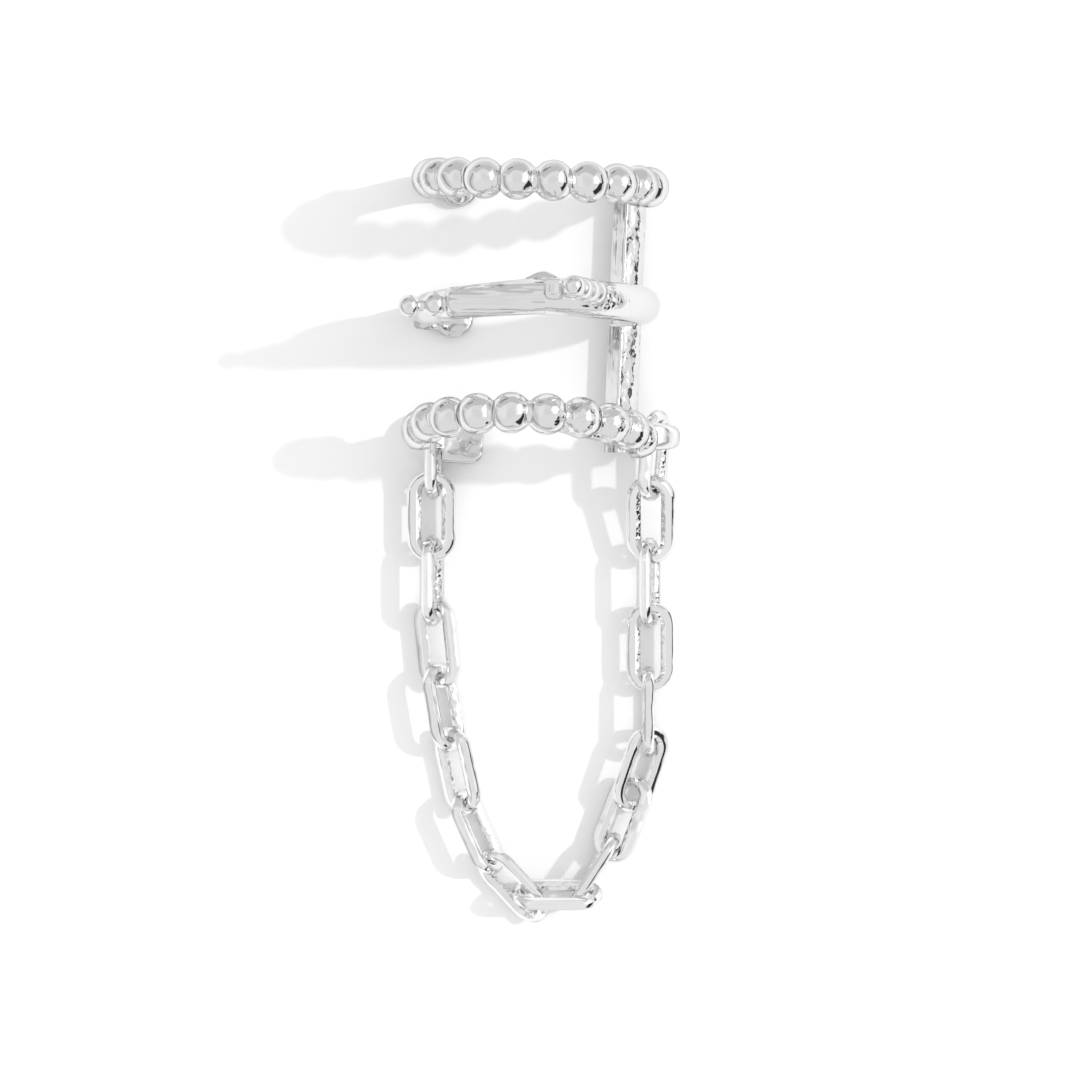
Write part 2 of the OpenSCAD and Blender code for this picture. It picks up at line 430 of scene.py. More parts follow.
def round_balls(t, given, count, shift, radius):
    """Balls at each step of the ring, or with a shift of a half, between the steps."""
    index = add(t, "GeometryNodeInputIndex").outputs[0]
    steps = maths(t, "MULTIPLY", maths(t, "ADD", index, shift), given["Step"])
    angle = maths(t, "ADD", given["First angle"], steps)
    x = maths(t, "MULTIPLY", maths(t, "SINE", angle), given["Ring radius"])
    z = maths(t, "MULTIPLY", maths(t, "COSINE", angle), given["Ring radius"])
    spot = add(t, "ShaderNodeCombineXYZ", {"X": x, "Z": z}).outputs[0]
    points = add(t, "GeometryNodePoints", {"Count": count, "Position": spot})
    ball = add(t, "GeometryNodeMeshIcoSphere", {"Radius": radius, "Subdivisions": BALL_DETAIL})
    inputs = {"Points": points.outputs[0], "Instance": ball.outputs[0]}
    return add(t, "GeometryNodeInstanceOnPoints", inputs).outputs[0]


def pressed_on_bore(t, given):
    """Where each point goes when what is inside the bore is pushed straight out to it."""
    at = add(t, "ShaderNodeSeparateXYZ", {0: add(t, "GeometryNodeInputPosition").outputs[0]}).outputs
    x_square = maths(t, "MULTIPLY", at["X"], at["X"])
    z_square = maths(t, "MULTIPLY", at["Z"], at["Z"])
    radius = maths(t, "SQRT", maths(t, "ADD", x_square, z_square))
    push = maths(t, "DIVIDE", maths(t, "MAXIMUM", radius, given["Bore radius"]), radius)
    x = maths(t, "MULTIPLY", at["X"], push)
    z = maths(t, "MULTIPLY", at["Z"], push)
    return add(t, "ShaderNodeCombineXYZ", {"X": x, "Y": at["Y"], "Z": z}).outputs[0]


def build_beads():
    """Beads and the necks between them, leant, pressed on to the bore and put in their place."""
    t = BEADS
    given = add(t, "NodeGroupInput").outputs
    beads = round_balls(t, given, given["Count"], 0.0, given["Bead radius"])
    neck_count = maths(t, "SUBTRACT", given["Count"], 1.0)
    neck_radius = maths(t, "MULTIPLY", given["Bead radius"], given["Neck share"])
    necks = round_balls(t, given, neck_count, 0.5, neck_radius)
    row = add(t, "GeometryNodeJoinGeometry", {0: beads})
    t.links.new(necks, row.inputs[0])
    whole = add(t, "GeometryNodeRealizeInstances", {"Geometry": row.outputs[0]})
    tilt = add(t, "ShaderNodeCombineXYZ", {"X": given["Lean"]}).outputs[0]
    leant = add(t, "GeometryNodeTransform", {"Geometry": whole.outputs[0], "Rotation": tilt})
    inputs = {"Geometry": leant.outputs[0], "Position": pressed_on_bore(t, given)}
    reamed = add(t, "GeometryNodeSetPosition", inputs)
    inputs = {"Geometry": reamed.outputs[0], "Translation": given["Place"]}
    placed = add(t, "GeometryNodeTransform", inputs)
    smooth = add(t, "GeometryNodeSetShadeSmooth", {"Geometry": placed.outputs[0]})
    finish_tree(t, smooth.outputs[0], given["Material"])


build_beads()
print("nodes in the beads' tree:", len(BEADS.nodes))

# %% [markdown]
# The two rows share one tree. They differ in where they start, in degrees from the front, and in how the
# band leans: the top one a little one way, and the lowest one more, the other way.

# %% The top row and the lowest row
BEAD_STEP = 18.5
TOP_FIRST = -86
LOW_FIRST = -84.2
TOP_LEAN = 2.7
LOW_LEAN = -10.7


def bead_row(name, y, first, lean):
    """One beaded band's row of beads."""
    values = {
        "First angle": math.radians(first),
        "Step": math.radians(BEAD_STEP),
        "Lean": math.radians(lean),
        "Place": (AXIS + Vector((0, y, 0))) * MM,
    }
    return grow(name, BEADS, values, beaded)


top_beads = bead_row("top_band_beads", TOP_Y, TOP_FIRST, TOP_LEAN)
low_beads = bead_row("low_band_beads", LOW_Y, LOW_FIRST, LOW_LEAN)
print("triangles in a row of beads:", len(top_beads.data.polygons))

# %% [markdown]
# Behind the beads runs a flat strip with softly rounded edges, which carries them. A cut cylinder would
# do, but swept round the axis it keeps its rounded edges. It goes from the left side to where the back
# strap or the bar takes over. On the lowest band it widens downwards into a lip, which shows.

# %% Flat strips round the axis
BAR_AT = 131.5
STRAP_T = 0.6
STRAP_W = 1.35
BACKING_T = 0.55
BACKING_W = 1.1
BACKING_CORNER = 0.14
LOW_LIP = 0.35
LIP_GROWS_TO = 25
STRIP_STEP = 3.0


def strip(name, y, lean, start, end, thickness, width, lip=0.0):
    """A flat strip on the bore, from one angle to another, on a band that leans."""
    turn = Matrix.Rotation(math.radians(lean), 3, "X")
    count = round((end - start) / STRIP_STEP)
    stations = []
    for i in range(count + 1):
        angle = start + (end - start) * i / count
        out = turn @ on_ring(angle, 1)
        extra = lip * min(1, max(0, angle / LIP_GROWS_TO))
        middle = out * (BORE_R + thickness / 2) + Vector((0, y, 0)) - turn @ ACROSS * extra / 2
        section = rounded_box(thickness, width + extra, BACKING_CORNER, 4)
        stations.append((section, middle, out, turn @ ACROSS))
    return sweep(name, stations)


top_backing = strip("top_band_strip", TOP_Y, TOP_LEAN, -90, 78, BACKING_T, BACKING_W)
low_backing = strip("low_band_strip", LOW_Y, LOW_LEAN, -90, 90, BACKING_T, BACKING_W, lip=LOW_LIP)
top_back = strip("top_band_back", TOP_Y, TOP_LEAN, 75, BAR_AT, STRAP_T, STRAP_W)
print("faces in the strips:", [len(s.data.polygons) for s in (top_backing, low_backing, top_back)])

# %% [markdown]
# The middle band
#
# The plain band is half round outside and flat inside. Its left side is slimmer and runs a little down to
# the left from the front, where the horn leaves it. Below its left side it thins down on to its back strap.
# A torus would give an even ring only, so it is a sweep whose section changes from station to station.

# %% Middle band
PLAIN_R = 6.12
PLAIN_W = 1.84
PLAIN_LEFT_W = 1.54
HORN_TURN = 7
FRONT_BLEND = 14
SIDE_X = 5.7
TAPER = 2.6
TAPER_STEPS = 12
COVER = 0.02
MIDDLE_STRAP_Y = -0.75


def blend(angle):
    """0 on the band's left side, 1 on its right, with a soft change at the front."""
    t = min(1, max(0, (angle + FRONT_BLEND) / (2 * FRONT_BLEND)))
    return t * t * (3 - 2 * t)


def plain_station(angle):
    """The middle band at one angle."""
    width = PLAIN_LEFT_W + (PLAIN_W - PLAIN_LEFT_W) * blend(angle)
    out = on_ring(angle, 1)
    origin = out * BORE_R
    slide = math.tan(math.radians(HORN_TURN)) * min(0, origin.x)
    return (half_round(width, PLAIN_R - BORE_R), origin + Vector((0, slide, 0)), out, ACROSS)


def taper_station(drop):
    """The band below its left side, where it thins until it just covers its back strap."""
    share = 0.5 - 0.5 * math.cos(math.pi * drop / TAPER)
    width = PLAIN_LEFT_W + (STRAP_W - PLAIN_LEFT_W) * share
    height = (PLAIN_R - BORE_R) + (STRAP_T + BORE_R - PLAIN_R + 2 * COVER) * share
    inner = BORE_R + (SIDE_X - STRAP_T / 2 - BORE_R - COVER) * share
    y = -math.tan(math.radians(HORN_TURN)) * BORE_R * (1 - share) + MIDDLE_STRAP_Y * share
    return (half_round(width, height), Vector((-inner, y, -drop)), Vector((-1, 0, 0)), ACROSS)


tapering = [taper_station(TAPER * (1 - i / TAPER_STEPS)) for i in range(TAPER_STEPS)]
round_part = [plain_station(angle) for angle in range(-90, int(BAR_AT) + 1, 2)]
middle_band = sweep("middle_band", tapering + round_part + [plain_station(BAR_AT)])
print("stations along the middle band:", len(tapering) + len(round_part) + 1)

# %% [markdown]
# The horn
#
# The horn is a turned form: a slim cone, a neck and two balls. It could be a cone and two spheres joined
# up. A profile spun round its own axis gives it in one piece, with the neck's true hollow. The axis lies
# along the band's front, turned down to the left.

# %% Spinning a profile
SPIN_STEPS = 48


def spin(name, profile, origin, along):
    """A turned form: the profile is distance along the axis and radius, from one end to the other."""
    along = along.normalized()
    side = along.orthogonal().normalized()
    other = along.cross(side)
    verts = []
    for distance, radius in profile:
        for i in range(SPIN_STEPS):
            a = 2 * math.pi * i / SPIN_STEPS
            verts.append(origin + along * distance + (side * math.cos(a) + other * math.sin(a)) * radius)
    return mesh_object(name, verts, tube_faces(SPIN_STEPS, len(profile)), sharp=50)


# %% [markdown]
# The horn's profile is the cone's straight side, its rounded end, and an arc for each ball. The arcs stop
# where they meet the neck between the balls.

# %% Horn with two balls
HORN_LEN = 4.3
HORN_SUNK = 0.4
HORN_ROOT_R = 0.88
HORN_SUNK_SHARE = 0.98
HORN_END_R = 0.74
HORN_SHOULDER = 0.01
HORN_ROUND = 0.25
HORN_CLOSES = 0.3
HORN_BALLS = [(4.85, 0.6), (6.07, 0.55)]
NECK_R = 0.3
NECK_OVERLAP = 0.9


def ball_profile(centre, radius, start, end, steps=16):
    """Points on a ball's outline between two distances along the axis."""
    a = math.acos(max(-1, min(1, (centre - start) / radius)))
    b = math.acos(max(-1, min(1, (centre - end) / radius)))
    angles = [a + (b - a) * i / steps for i in range(steps + 1)]
    return [(centre - radius * math.cos(q), radius * math.sin(q)) for q in angles]


def horn_profile():
    """The cone with a rounded end, then the two balls with the neck between them."""
    shoulder = HORN_LEN - HORN_ROUND
    points = [(-HORN_SUNK, HORN_ROOT_R * HORN_SUNK_SHARE), (0, HORN_ROOT_R)]
    points.append((shoulder, HORN_END_R + HORN_SHOULDER))
    for i in range(1, 6):
        a = math.radians(15 * i)
        points.append((shoulder + HORN_ROUND * math.sin(a), HORN_END_R - HORN_CLOSES * (1 - math.cos(a))))
    (c1, r1), (c2, r2) = HORN_BALLS
    reach1 = math.sqrt(r1 * r1 - NECK_R * NECK_R)
    reach2 = math.sqrt(r2 * r2 - NECK_R * NECK_R)
    points += ball_profile(c1, r1, c1 - reach1 * NECK_OVERLAP, c1 + reach1)
    points += ball_profile(c2, r2, c2 - reach2, c2 + r2)
    return points


turn = math.radians(HORN_TURN)
horn_way = Vector((-math.cos(turn), -math.sin(turn), 0))
horn = spin("horn", horn_profile(), Vector((0, 0, PLAIN_R - HORN_ROOT_R)), horn_way)
print("rings along the horn:", len(horn_profile()))

# %% [markdown]
# The stalk
#
# The stalk is four beads in a line that leans to the left, each smaller than the last. The bands' tree sets
# its beads round a ring, so a second small tree sets points along a line and scales a sphere on each.

# %% Stalk of four beads
STALK = new_tree(
    "beads along a line",
    [
        ("Count", "Int", 4),
        ("Start", "Vector", (0, 0, 0)),
        ("End", "Vector", (0, 0, MM)),
        ("First radius", "Float", 0.6 * MM),
        ("Last radius", "Float", 0.54 * MM),
        ("Material", "Material", None),
    ],
)


def build_stalk():
    """Points from start to end, and a sphere on each with a radius between the first and the last."""
    t = STALK
    given = add(t, "NodeGroupInput").outputs
    index = add(t, "GeometryNodeInputIndex").outputs[0]
    share = maths(t, "DIVIDE", index, maths(t, "SUBTRACT", given["Count"], 1.0))
    inputs = {0: share, 4: given["Start"], 5: given["End"]}
    spot = add(t, "ShaderNodeMix", inputs, data_type="VECTOR").outputs[1]
    inputs = {0: share, 2: given["First radius"], 3: given["Last radius"]}
    size = add(t, "ShaderNodeMix", inputs).outputs[0]
    points = add(t, "GeometryNodePoints", {"Count": given["Count"], "Position": spot})
    ball = add(t, "GeometryNodeMeshIcoSphere", {"Radius": 1.0, "Subdivisions": BALL_DETAIL})
    inputs = {"Points": points.outputs[0], "Instance": ball.outputs[0], "Scale": size}
    row = add(t, "GeometryNodeInstanceOnPoints", inputs)
    whole = add(t, "GeometryNodeRealizeInstances", {"Geometry": row.outputs[0]})
    smooth = add(t, "GeometryNodeSetShadeSmooth", {"Geometry": whole.outputs[0]})
    finish_tree(t, smooth.outputs[0], given["Material"])


build_stalk()
STALK_FOOT = Vector((2.8, 0.27, 5.4))
STALK_TIP = Vector((1.78, 0.42, 7.55))
stalk_values = {"Start": (AXIS + STALK_FOOT) * MM, "End": (AXIS + STALK_TIP) * MM}
stalk = grow("stalk", STALK, stalk_values, polished)
print("stalk's length between its end beads, mm:", round((STALK_TIP - STALK_FOOT).length, 2))

# %% [markdown]
# The bump and the stub
#
# Two small left-overs of casting sit by the stalk. On the band's upper edge is a low pointed hill. It could
# be sculpted; pinching a ball towards its two ends gives the same form by a rule. Between it and the
# stalk stands a short block with a rolled rim and a slightly sunk end, which is one more sweep.

# %% Bump
BUMP_AT = Vector((0.35, 0.66, 5.32))
BUMP_R = (1.2, 0.6, 0.42)
BUMP_PEAK = 0.6


def hill(name, centre, radii, peak):
    """A squashed ball that comes to a blunt point, and thins towards its two ends."""
    bm = bmesh.new()
    bmesh.ops.create_icosphere(bm, subdivisions=4, radius=1)
    verts = [Vector(v.co) for v in bm.verts]
    faces = [[v.index for v in f.verts] for f in bm.faces]
    bm.free()
    placed = []
    for v in verts:
        share = max(0, 1 - abs(v.x)) ** peak
        placed.append(centre + Vector((v.x * radii[0], v.y * radii[1] * share, v.z * radii[2] * share)))
    return mesh_object(name, placed, faces, sharp=80)


bump = hill("bump", BUMP_AT, BUMP_R, BUMP_PEAK)
print("bump's length and height, mm:", 2 * BUMP_R[0], BUMP_R[1])

# %% [markdown]
# The stub's sections stay the same up to the rim, then draw in round a quarter circle, and dip a little
# inside it.

# %% Stub
STUB_AT = Vector((0.9, 0.34, 5.7))
STUB_TURN = -7
STUB_ROOT = -0.5
STUB_LEN = 0.72
STUB_WIDTH = 0.82
STUB_HEIGHT = 1.0
STUB_CORNER = 0.25
STUB_CORNER_SHRINKS = 0.6
STUB_RIM = 0.14
STUB_RIM_FLAT = 0.04
STUB_RIM_SLOPE = 0.1
STUB_SUNK = 0.06


def build_stub():
    """Sections up the block, each with its height and how far it is drawn in."""
    turn = Matrix.Rotation(math.radians(STUB_TURN), 3, "Y")
    along = turn @ Vector((0, 0, 1))
    profile = [(STUB_ROOT, 0), (STUB_LEN - STUB_RIM, 0)]
    for i in range(1, 7):
        a = math.radians(90 * i / 6)
        profile.append((STUB_LEN - STUB_RIM * (1 - math.sin(a)), STUB_RIM * (1 - math.cos(a))))
    profile.append((STUB_LEN, STUB_RIM + STUB_RIM_FLAT))
    profile.append((STUB_LEN - STUB_SUNK, STUB_RIM + STUB_RIM_SLOPE))
    stations = []
    for height, inset in profile:
        corner = STUB_CORNER - STUB_CORNER_SHRINKS * inset
        section = rounded_box(STUB_WIDTH - 2 * inset, STUB_HEIGHT - 2 * inset, corner)
        stations.append((section, STUB_AT + along * height, turn @ Vector((1, 0, 0)), ACROSS))
    return sweep("stub", stations)


stub = build_stub()
print("stub's faces:", len(stub.data.polygons))

# %% [markdown]
# Soldering
#
# Silver that was soldered and cast has no knife sharp corners where two forms meet: the metal flows into
# the corner. Boolean unions would join the forms but leave those corners sharp. A voxel remesh makes one
# skin of the forms that touch, and a few passes of smoothing then give the corner its small fillet.

# %% One skin for what is soldered
VOXEL = 0.05
PASSES = 5


def solder(name, parts):
    """Joins pieces into one closed skin with small fillets where they meet."""
    bm = bmesh.new()
    for part in parts:
        bm.from_mesh(part.data)
        bpy.data.objects.remove(part)
    mesh = bpy.data.meshes.new(name)
    bm.to_mesh(mesh)
    bm.free()
    mesh.materials.clear()
    obj = bpy.data.objects.new(name, mesh)
    bpy.context.scene.collection.objects.link(obj)
    remesh = obj.modifiers.new("remesh", "REMESH")
    remesh.mode = "VOXEL"
    remesh.voxel_size = VOXEL * MM
    remesh.use_smooth_shade = True
    smooth = obj.modifiers.new("smooth", "SMOOTH")
    smooth.factor = 0.5
    smooth.iterations = PASSES
    skin = evaluated_mesh(obj)
    obj.modifiers.clear()
    obj.data = skin
    print(name, "faces:", len(skin.polygons))
    return obj


# %% [markdown]
# The bar behind the bands
#
# A square bar joins the bands on the right. A cube with a bevel is nearly it, but its outer side is a
# little crowned, more towards one edge. That goes into the section, and the section is swept along the bar.

# %% Bar
BAR_W = 1.06
BAR_DEPTH = 1.4
BAR_IN_R = 5.25
BAR_CORNER = 0.12
BAR_CROWN = 0.09
CROWN_MARGIN = 0.15
CROWN_LEAN = 0.6
CROWN_POINTS = 7
BAR_TOP = TOP_Y + 0.7
BAR_BOTTOM = LOW_Y - 0.55
BAR_STEPS = 40


def bar_section():
    """A square with round corners and one crowned side. The crown goes in before the last corner."""
    box = rounded_box(BAR_DEPTH, BAR_W, BAR_CORNER)
    crown = []
    for i in range(1, CROWN_POINTS + 1):
        s = 2 * i / (CROWN_POINTS + 1) - 1
        rise = BAR_CROWN * (1 - s * s) * (1 + CROWN_LEAN * s)
        crown.append((s * (BAR_DEPTH / 2 - CROWN_MARGIN), -BAR_W / 2 - rise))
    last_corner = len(box) * 3 // 4
    return box[:last_corner] + crown + box[last_corner:]


def build_bar():
    """The bar along the bands, at its angle round the axis."""
    out = on_ring(BAR_AT, 1)
    aside = on_ring(BAR_AT + 90, 1)
    middle = out * (BAR_IN_R + BAR_DEPTH / 2)
    section = bar_section()
    stations = []
    for i in range(BAR_STEPS + 1):
        y = BAR_BOTTOM + (BAR_TOP - BAR_BOTTOM) * i / BAR_STEPS
        stations.append((section, middle + Vector((0, y, 0)), out, aside))
    return sweep("back_bar", stations)


bar = build_bar()
print("bar's length, mm:", round(BAR_TOP - BAR_BOTTOM, 2))

# %% [markdown]
# The back straps
#
# On the left each band ends in a flat strap that comes down, bends and runs back under the band to a
# wider end. Bending a flat plate with a modifier would stretch it in the bend. Here the strap's path is
# drawn instead, a quarter turn and a straight run, and a flat section is swept along it.

# %% A strap's path
BEND_R = 0.9
BEND_STEPS = 14
STRAP_GROWS = 1.6
TIP_X = 3.1
PADDLE_R = 1.0
TIP_SLOPE = 8
CLEAR_OF_TABLE = 0.01
RESTING_TIP = STRAP_T / 2 * math.cos(math.radians(TIP_SLOPE)) + CLEAR_OF_TABLE


def downhill(slope):
    """The direction to the right and down at a slope, and the one square to it that points up."""
    a = math.radians(slope)
    return Vector((math.cos(a), 0, -math.sin(a))), Vector((math.sin(a), 0, math.cos(a)))


def strap_path(slope, tip_z, start_z):
    """Points and inward directions along the strap's middle, from the band's side to the paddle."""
    a = math.radians(slope)
    way, up = downhill(slope)
    paddle = Vector((-TIP_X - PADDLE_R * math.cos(a), 0, -AXIS.z + tip_z + PADDLE_R * math.sin(a)))
    run = (paddle.x + SIDE_X - BEND_R * (1 - math.sin(a))) / math.cos(a)
    centre = paddle - way * run + up * BEND_R
    right = Vector((1, 0, 0))
    path = [(Vector((-SIDE_X, 0, start_z)), right)]
    if start_z < 0:
        path.append((Vector((-SIDE_X, 0, start_z - STRAP_GROWS)), right))
    for i in range(BEND_STEPS + 1):
        arm = on_ring(-90 - (90 - slope) * i / BEND_STEPS, 1)
        path.append((centre + arm * BEND_R, -arm))
    path.append((paddle, up))
    return path


print("points along a strap:", len(strap_path(TIP_SLOPE, RESTING_TIP, 0)))

# %% [markdown]
# Two of the straps end in a round paddle, a thick disc with rounded edges, which is a spun profile. The
# lowest one's end shows more: it is squarer, lies flatter than its strap and reaches a little further.

# %% The straps' ends
PADDLE_ROUND = 0.2
SQUARE_CORNER = 0.5
SQUARE_EDGE = 0.28
SQUARE_SLOPE = 10
SQUARE_START = 0.45
SQUARE_LONGER = 0.6
SQUARE_STEPS = 32


def round_end(name, middle, up):
    """A thick disc with rounded edges."""
    r = PADDLE_ROUND
    outline = [(-STRAP_T / 2, PADDLE_R - r)]
    for i in range(1, 6):
        a = math.radians(90 * i / 5)
        outline.append((-STRAP_T / 2 + r * (1 - math.cos(a)), PADDLE_R - r + r * math.sin(a)))
    outline += [(-d, q) for d, q in reversed(outline)]
    return spin(name, outline, middle, up)


def square_end(name, middle):
    """A flat end with rounded corners in place of the round one, lying flatter than its strap."""
    way, up = downhill(SQUARE_SLOPE)
    reach = SQUARE_START + PADDLE_R + SQUARE_LONGER
    stations = []
    for i in range(SQUARE_STEPS + 1):
        along = reach * i / SQUARE_STEPS
        past = max(0, along - reach + SQUARE_CORNER)
        inset = SQUARE_CORNER - math.sqrt(max(0, SQUARE_CORNER**2 - past**2))
        section = rounded_box(STRAP_T, 2 * (PADDLE_R - inset), SQUARE_EDGE)
        stations.append((section, middle + way * along, up, ACROSS))
    return sweep(name, stations)


# %% [markdown]
# Each strap is then soldered to its end. The table of straps has a row for each one: where it lies along
# the axis, how steeply it runs, how high its tip is over the table, and how high its top starts.

# %% Back straps
SLIMMER = 0.25
STRAP_CORNER = 0.16
START_CORNER = 0.1
STRAPS = {
    "top_strap": {"y": TOP_Y, "slope": TIP_SLOPE, "tip_z": RESTING_TIP, "start_z": 0.1},
    "middle_strap": {"y": MIDDLE_STRAP_Y, "slope": TIP_SLOPE, "tip_z": RESTING_TIP, "start_z": -0.9},
    "low_strap": {"y": LOW_Y - 0.4, "slope": 27, "tip_z": 0.42, "start_z": 0.1, "square": True},
}


def build_strap(name, y, slope, tip_z, start_z, square=False):
    """The strap as one sweep, with its end. One that starts inside its band starts small."""
    way, up = downhill(slope)
    path = strap_path(slope, tip_z, start_z)
    paddle = path[-1][0] + Vector((0, y, 0))
    slimmer = SLIMMER if square else 0
    if square:
        path[-1] = (path[-1][0] - way * SQUARE_START, up)
    section = rounded_box(STRAP_T, STRAP_W - slimmer, STRAP_CORNER)
    shift = Vector((0, y + slimmer / 2, 0))
    stations = [(section, at + shift, inward, ACROSS) for at, inward in path]
    if start_z < 0:
        stations[0] = (rounded_box(STRAP_T / 2, STRAP_W / 2, START_CORNER),) + stations[0][1:]
    strap = sweep(name, stations)
    if square:
        end = square_end(name + "_end", path[-1][0] + Vector((0, y, 0)))
    else:
        end = round_end(name + "_end", paddle, up)
    skin = solder(name, [strap, end])
    # Painted shade: the straps take the darker silver.
    skin.data.materials.append(wavy_painted_shade)
    return skin


straps = [build_strap(name, **values) for name, values in STRAPS.items()]
print("back straps:", [strap.name for strap in straps])

# %% [markdown]
# The loop that holds the chain
#
# At the lowest band's right side a smooth strap swings out past the beads and back in to the bar. The
# chain's last link hooks round it. Part of a torus is close, but the strap is wider where it is soldered
# than at its outermost point, so it is a sweep round an arc, and then straight in.

# %% Chain loop
LOOP_AT = Vector((5.5, -6.35, -0.7))
LOOP_R = 1.45
LOOP_T = 0.8
LOOP_IN_W = 1.45
LOOP_OUT_W = 1.05
LOOP_CORNER = 0.38
LOOP_START = -40
LOOP_TURN = 136
LOOP_RUN = 2.9
LOOP_STEPS = 50


def build_loop():
    """An arc out and round, then straight in to the bar."""
    stations = []
    for i in range(LOOP_STEPS + 1):
        angle = LOOP_START + (LOOP_TURN - LOOP_START) * i / LOOP_STEPS
        width = LOOP_OUT_W + (LOOP_IN_W - LOOP_OUT_W) * min(1, abs(angle - 90) / 90)
        section = rounded_box(LOOP_T, width, LOOP_CORNER, 10)
        out = on_ring(angle, 1)
        stations.append((section, LOOP_AT + out * LOOP_R, out, ACROSS))
    onward = on_ring(LOOP_TURN + 90, 1)
    stations.append((section, LOOP_AT + out * LOOP_R + onward * LOOP_RUN, out, ACROSS))
    return sweep("chain_loop", stations)


chain_loop = build_loop()
chain_loop.data.materials.append(satin)
print("chain loop faces:", len(chain_loop.data.polygons))

# %% [markdown]
# The bands as skins
#
# Now each band's forms are soldered: beads to their strip, and horn, stalk, bump and stub to the middle
# band. It is done last, so that the forms could be changed one by one.

# %% The bands as skins
top_band = solder("top_band", [top_beads, top_backing])
low_band = solder("low_band", [low_beads, low_backing])
middle = solder("middle_band_and_horn", [middle_band, horn, stalk, bump, stub])

# %% [markdown]
# Where each finish goes
#
# One skin can carry several finishes. Painting a mask is one way. A short test on each face's place is
# steadier, because it still holds when a form is changed: the horn is filed, the stalk's root is
# speckled, its lower beads are duller and painted lighter, and the lowest band is pitted from its middle to
# the right.

# %% Finishes by place
HORN_FILED_FROM = -0.4
HORN_UNDERSIDE = 3.6
SPECKLE_AT = Vector((3.45, 0.1, 5.0))
SPECKLE_R = 0.75
# Where the stalk's lower beads get the rougher silver that is also painted lighter.
DULL_AND_LIGHTER_FROM = 0.05
DULL_AND_LIGHTER_TO = 0.85
DULL_AND_LIGHTER_R = 0.66
TOP_BEAD_CLEAR = 0.6
PITTED_FROM = 1.0
ROUGH_SIDE_FACING = 0.8


def finish_faces(obj, first, *others):
    """Gives a piece one finish, and others where their test on a face is true."""
    obj.data.materials.clear()
    for material in [first] + [other for other, chosen in others]:
        obj.data.materials.append(material)
    for face in obj.data.polygons:
        fits = [i + 1 for i, (other, chosen) in enumerate(others) if chosen(face)]
        face.material_index = fits[0] if fits else 0


def on_horn(face):
    """True between the middle band's front and the horn's rounded end."""
    along = (face.center / MM - AXIS).dot(horn_way)
    return HORN_FILED_FROM < along < HORN_LEN and face.center.z > (AXIS.z + HORN_UNDERSIDE) * MM


def at_stalk(face):
    """True round the stalk's root on its right, where the solder was left rough."""
    return (face.center / MM - AXIS - SPECKLE_AT).length < SPECKLE_R


def on_lower_beads(face):
    """True on the stalk's beads below its top one, which are duller and painted lighter."""
    line = STALK_TIP - STALK_FOOT
    at = face.center / MM - AXIS - STALK_FOOT
    along = at.dot(line) / line.length_squared
    aside = (at - line * along).length
    return DULL_AND_LIGHTER_FROM < along < DULL_AND_LIGHTER_TO and aside < DULL_AND_LIGHTER_R and (at - line).length > TOP_BEAD_CLEAR


def on_right_half(face):
    """True from a little right of the lowest band's front."""
    return face.center.x > (AXIS.x + PITTED_FROM) * MM


def on_rough_side(face):
    """True on the bar's crowned outer side."""
    return face.normal.dot(-on_ring(BAR_AT + 90, 1)) > ROUGH_SIDE_FACING


top_band.data.materials.append(beaded)
top_back.data.materials.append(polished)
finish_faces(low_band, beaded, (pitted, on_right_half))
finish_faces(middle, polished, (speckled, at_stalk), (dull_and_painted_lighter, on_lower_beads), (filed_across, on_horn))
finish_faces(bar, filed_along, (rough_bar, on_rough_side))
print("finishes on the middle band:", [material.name for material in middle.data.materials])

# %% [markdown]
# The cuff on its frame
#
# All these pieces stand for one solid of the imported model, because the real cuff is one piece of metal.
# Each hides that solid, the one called cuff, and rides on the root body.

# %% Handing the cuff's pieces to the frame
cuff_pieces = [top_band, low_band, middle, top_back, chain_loop, *straps, bar]
for piece in cuff_pieces:
    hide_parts("cuff")
    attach(piece, "root")
print("pieces of the cuff:", len(cuff_pieces))

# %% [markdown]
# The chain
#
# Each link is a long ring of wire with flat faces and broken corners, whose sides are a little wider than
# its bows. A torus cut and stretched would have round wire. The tree draws the ring as a rectangle with
# fillets and sweeps a filleted octagon along it.

# %% A link's sizes
LINK = new_tree(
    "chain link",
    [
        ("Length", "Float", 4.5 * MM),
        ("Width", "Float", 2.42 * MM),
        ("Wire", "Float", 0.58 * MM),
        ("Edge radius", "Float", 0.05 * MM),
        ("Side gain", "Float", 0.1 * MM),
        ("Inner material", "Material", None),
        ("Material", "Material", None),
    ],
)
print("inputs of a link:", [item.name for item in LINK.interface.items_tree if item.in_out == "INPUT"])

# %% [markdown]
# Two things depend on where a point lies round the link: how far the side's inner half moves in, and
# whether a face looks into the opening, where the casting stays rough. Both start from the same arm, the
# vector to the point from the nearest point of the link's middle line.

# %% Round the link
INNER_FACING = -0.5
GAIN_FADES = 3.0


def from_spine(t, wide, tall):
    """The vector to a point of the link from the nearest point of its middle line."""
    at = add(t, "ShaderNodeSeparateXYZ", {0: add(t, "GeometryNodeInputPosition").outputs[0]}).outputs
    half = maths(t, "MULTIPLY", maths(t, "SUBTRACT", tall, wide), 0.5)
    low = maths(t, "MULTIPLY", half, -1.0)
    spine_y = maths(t, "MINIMUM", maths(t, "MAXIMUM", at["Y"], low), half)
    arm_y = maths(t, "SUBTRACT", at["Y"], spine_y)
    return add(t, "ShaderNodeCombineXYZ", {"X": at["X"], "Y": arm_y}).outputs[0]


